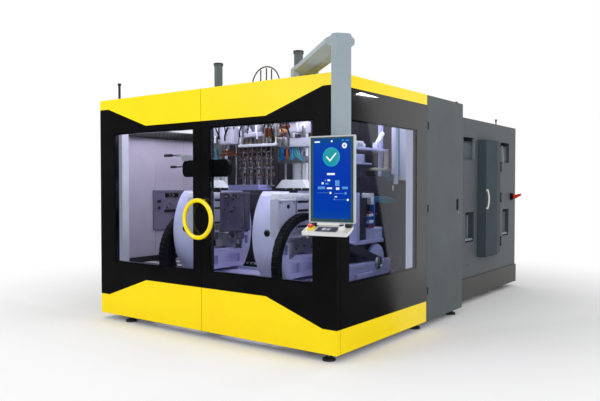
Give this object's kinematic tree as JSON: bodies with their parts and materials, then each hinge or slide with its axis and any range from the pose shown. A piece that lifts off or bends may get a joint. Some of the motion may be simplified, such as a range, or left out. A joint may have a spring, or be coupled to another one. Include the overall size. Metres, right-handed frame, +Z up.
{
  "type": "blow moulding machine",
  "caption": "Blow moulding machine: yellow and black moulding cell with sliding doors, grey cabinet and extruder modules, and a swivelling operator panel on an arm.",
  "frame": {"origin": "under the middle levelling foot of the moulding cell, on the floor and on the centre line of the machine", "axes": "+Z up, +Y from the front doors to the extruder module, +X to the side with the cabinet door and the operator panel"},
  "size_m": [3.7699, 5.9751, 2.968],
  "materials": {
    "frame_paint": "light violet-grey machine paint, satin",
    "foot_plastic": "black moulded pad",
    "zinc_steel": "zinc-plated steel",
    "black_paint": "smooth glossy black powder coat",
    "yellow_paint": "smooth yellow powder coat",
    "clear_window": "clear polycarbonate pane",
    "yellow_handle": "glossy yellow powder-coated tube",
    "grey_plastic": "dark grey moulded housing",
    "casting_paint": "light violet-grey paint over casting",
    "black_plastic": "black glass-filled plastic",
    "mould_aluminium": "machined aluminium",
    "white_paint": "white paint, satin",
    "machined_steel": "machined steel",
    "band_brass": "heater band with brass-coloured jacket",
    "chrome_rod": "hard-chromed rod",
    "dark_paint": "dark grey paint",
    "barrel_steel": "nitrided steel",
    "rubber_hose": "black rubber hose",
    "grey_paint": "blue-grey textured powder coat",
    "bay_paint": "dark blue-grey textured powder coat",
    "white_plastic": "white moulded handle",
    "gear_plastic": "light grey switch gear housings",
    "red_plastic": "red moulded plastic",
    "arm_paint": "light blue-grey paint, satin",
    "monitor_frame": "silver-white frame",
    "screen_glass": "blue lit screen under glass",
    "console_paint": "off-white paint, satin",
    "ivory_plastic": "ivory moulded plastic"
  },
  "bodies": {
    "machine": {"arm_column": "arm_paint", "base_frame": "frame_paint", "blow_masts": "white_paint", "cell_frame": "frame_paint", "door_rails": "zinc_steel", "extruder_barrel": "barrel_steel", "extruder_drive": "dark_paint", "extrusion_head": "machined_steel", "feed_hopper": "machined_steel", "floor_grating": "zinc_steel", "foot_pads": "foot_plastic", "foot_stems": "zinc_steel", "head_rods": "chrome_rod", "heater_bands": "band_brass", "hose_loops": "rubber_hose", "machine_bed": "casting_paint", "pin_guides": "white_paint", "product_tray": "machined_steel", "rear_module_shell": "grey_paint", "roof_panel": "black_paint", "scrap_box": "grey_paint", "side_panel_left": "black_paint", "side_panel_right": "black_paint", "side_trims": "yellow_paint", "side_window_right": "clear_window", "switch_gear": "gear_plastic", "tall_module_shell": "grey_paint", "trim_press": "dark_paint"},
    "door_left": {"door_left_panel": "black_paint", "door_left_trim": "yellow_paint", "door_left_window": "clear_window", "door_left_handle": "yellow_handle", "door_left_lock": "grey_plastic"},
    "door_right": {"door_right_panel": "black_paint", "door_right_trim": "yellow_paint", "door_right_window": "clear_window", "door_right_handle": "yellow_handle", "door_right_lock": "grey_plastic"},
    "carriage_left": {"clamp_frame_left": "casting_paint", "clamp_chain_left": "black_plastic"},
    "carriage_right": {"clamp_frame_right": "casting_paint", "clamp_chain_right": "black_plastic"},
    "front_half_left": {"front_mould_left": "mould_aluminium"},
    "front_half_right": {"front_mould_right": "mould_aluminium"},
    "rear_half_left": {"rear_mould_left": "mould_aluminium"},
    "rear_half_right": {"rear_mould_right": "mould_aluminium"},
    "blow_left": {"blow_slide_left": "machined_steel"},
    "blow_right": {"blow_slide_right": "machined_steel"},
    "screw": {"extruder_screw": "machined_steel"},
    "cabinet_door": {"tall_module_door": "grey_paint"},
    "bay": {"bay_door": "bay_paint", "bay_handle": "white_plastic"},
    "main_switch": {"main_switch_lever": "red_plastic"},
    "arm": {"support_arm": "arm_paint"},
    "panel": {"monitor_housing": "monitor_frame", "monitor_screen": "screen_glass", "control_console": "console_paint"},
    "stop_button": {"estop_button": "red_plastic"},
    "selector": {"selector_knob": "black_plastic"},
    "key": {"key_switch": "ivory_plastic"}
  },
  "joints": [
    {"name": "door_left_slide", "type": "slide", "parent": "machine", "child": "door_left", "axis": [-1, 0, 0], "range_m": [0, 1.05]},
    {"name": "door_right_slide", "type": "slide", "parent": "machine", "child": "door_right", "axis": [1, 0, 0], "range_m": [0, 1.05]},
    {"name": "carriage_left_travel", "type": "slide", "parent": "machine", "child": "carriage_left", "axis": [1, 0, 0], "range_m": [0, 0.583]},
    {"name": "carriage_right_travel", "type": "slide", "parent": "machine", "child": "carriage_right", "axis": [1, 0, 0], "range_m": [-0.583, 0]},
    {"name": "front_half_left_close", "type": "slide", "parent": "carriage_left", "child": "front_half_left", "axis": [0, 1, 0], "range_m": [0, 0.095]},
    {"name": "rear_half_left_close", "type": "slide", "parent": "carriage_left", "child": "rear_half_left", "axis": [0, 1, 0], "range_m": [-0.095, 0]},
    {"name": "blow_left_lower", "type": "slide", "parent": "machine", "child": "blow_left", "axis": [0, 0, -1], "range_m": [0, 0.15]},
    {"name": "front_half_right_close", "type": "slide", "parent": "carriage_right", "child": "front_half_right", "axis": [0, 1, 0], "range_m": [0, 0.095]},
    {"name": "rear_half_right_close", "type": "slide", "parent": "carriage_right", "child": "rear_half_right", "axis": [0, 1, 0], "range_m": [-0.095, 0]},
    {"name": "blow_right_lower", "type": "slide", "parent": "machine", "child": "blow_right", "axis": [0, 0, -1], "range_m": [0, 0.15]},
    {"name": "screw_spin", "type": "hinge", "parent": "machine", "child": "screw", "pos_m": [0, 1.5, 2.13], "axis": [0, 1, 0], "continuous": true},
    {"name": "cabinet_door_swing", "type": "hinge", "parent": "machine", "child": "cabinet_door", "pos_m": [1.625, 0.899, 1.3], "axis": [0, 0, -1], "range_deg": [0, 100]},
    {"name": "bay_door_swing", "type": "hinge", "parent": "machine", "child": "bay", "pos_m": [1.453, 3.757, 1.3675], "axis": [0, 0, 1], "range_deg": [0, 100]},
    {"name": "main_switch_turn", "type": "hinge", "parent": "machine", "child": "main_switch", "pos_m": [1.48, 4.24, 1.373], "axis": [1, 0, 0], "range_deg": [0, 90]},
    {"name": "arm_swivel", "type": "hinge", "parent": "machine", "child": "arm", "pos_m": [0.9, -0.341, 2.65], "axis": [0, 0, 1], "range_deg": [-50, 60]},
    {"name": "panel_swivel", "type": "hinge", "parent": "arm", "child": "panel", "pos_m": [1.91626, -1.24328, 1.6], "axis": [0, 0, 1], "range_deg": [-45, 45]},
    {"name": "stop_press", "type": "slide", "parent": "panel", "child": "stop_button", "axis": [-0.0375, 0.3564, -0.9336], "range_m": [0, 0.005], "stiffness_N_per_m": 3000},
    {"name": "selector_turn", "type": "hinge", "parent": "panel", "child": "selector", "pos_m": [2.04937, -1.43829, 1.22927], "axis": [0.0375, -0.3564, 0.9336], "range_deg": [-60, 60]},
    {"name": "key_turn", "type": "hinge", "parent": "panel", "child": "key", "pos_m": [2.09902, -1.47062, 1.21493], "axis": [0.0375, -0.3564, 0.9336], "range_deg": [0, 90]}
  ],
  "couplings": [
    {"joint": "rear_half_left_close", "follows": "front_half_left_close", "ratio": -1},
    {"joint": "rear_half_right_close", "follows": "front_half_right_close", "ratio": -1}
  ]
}
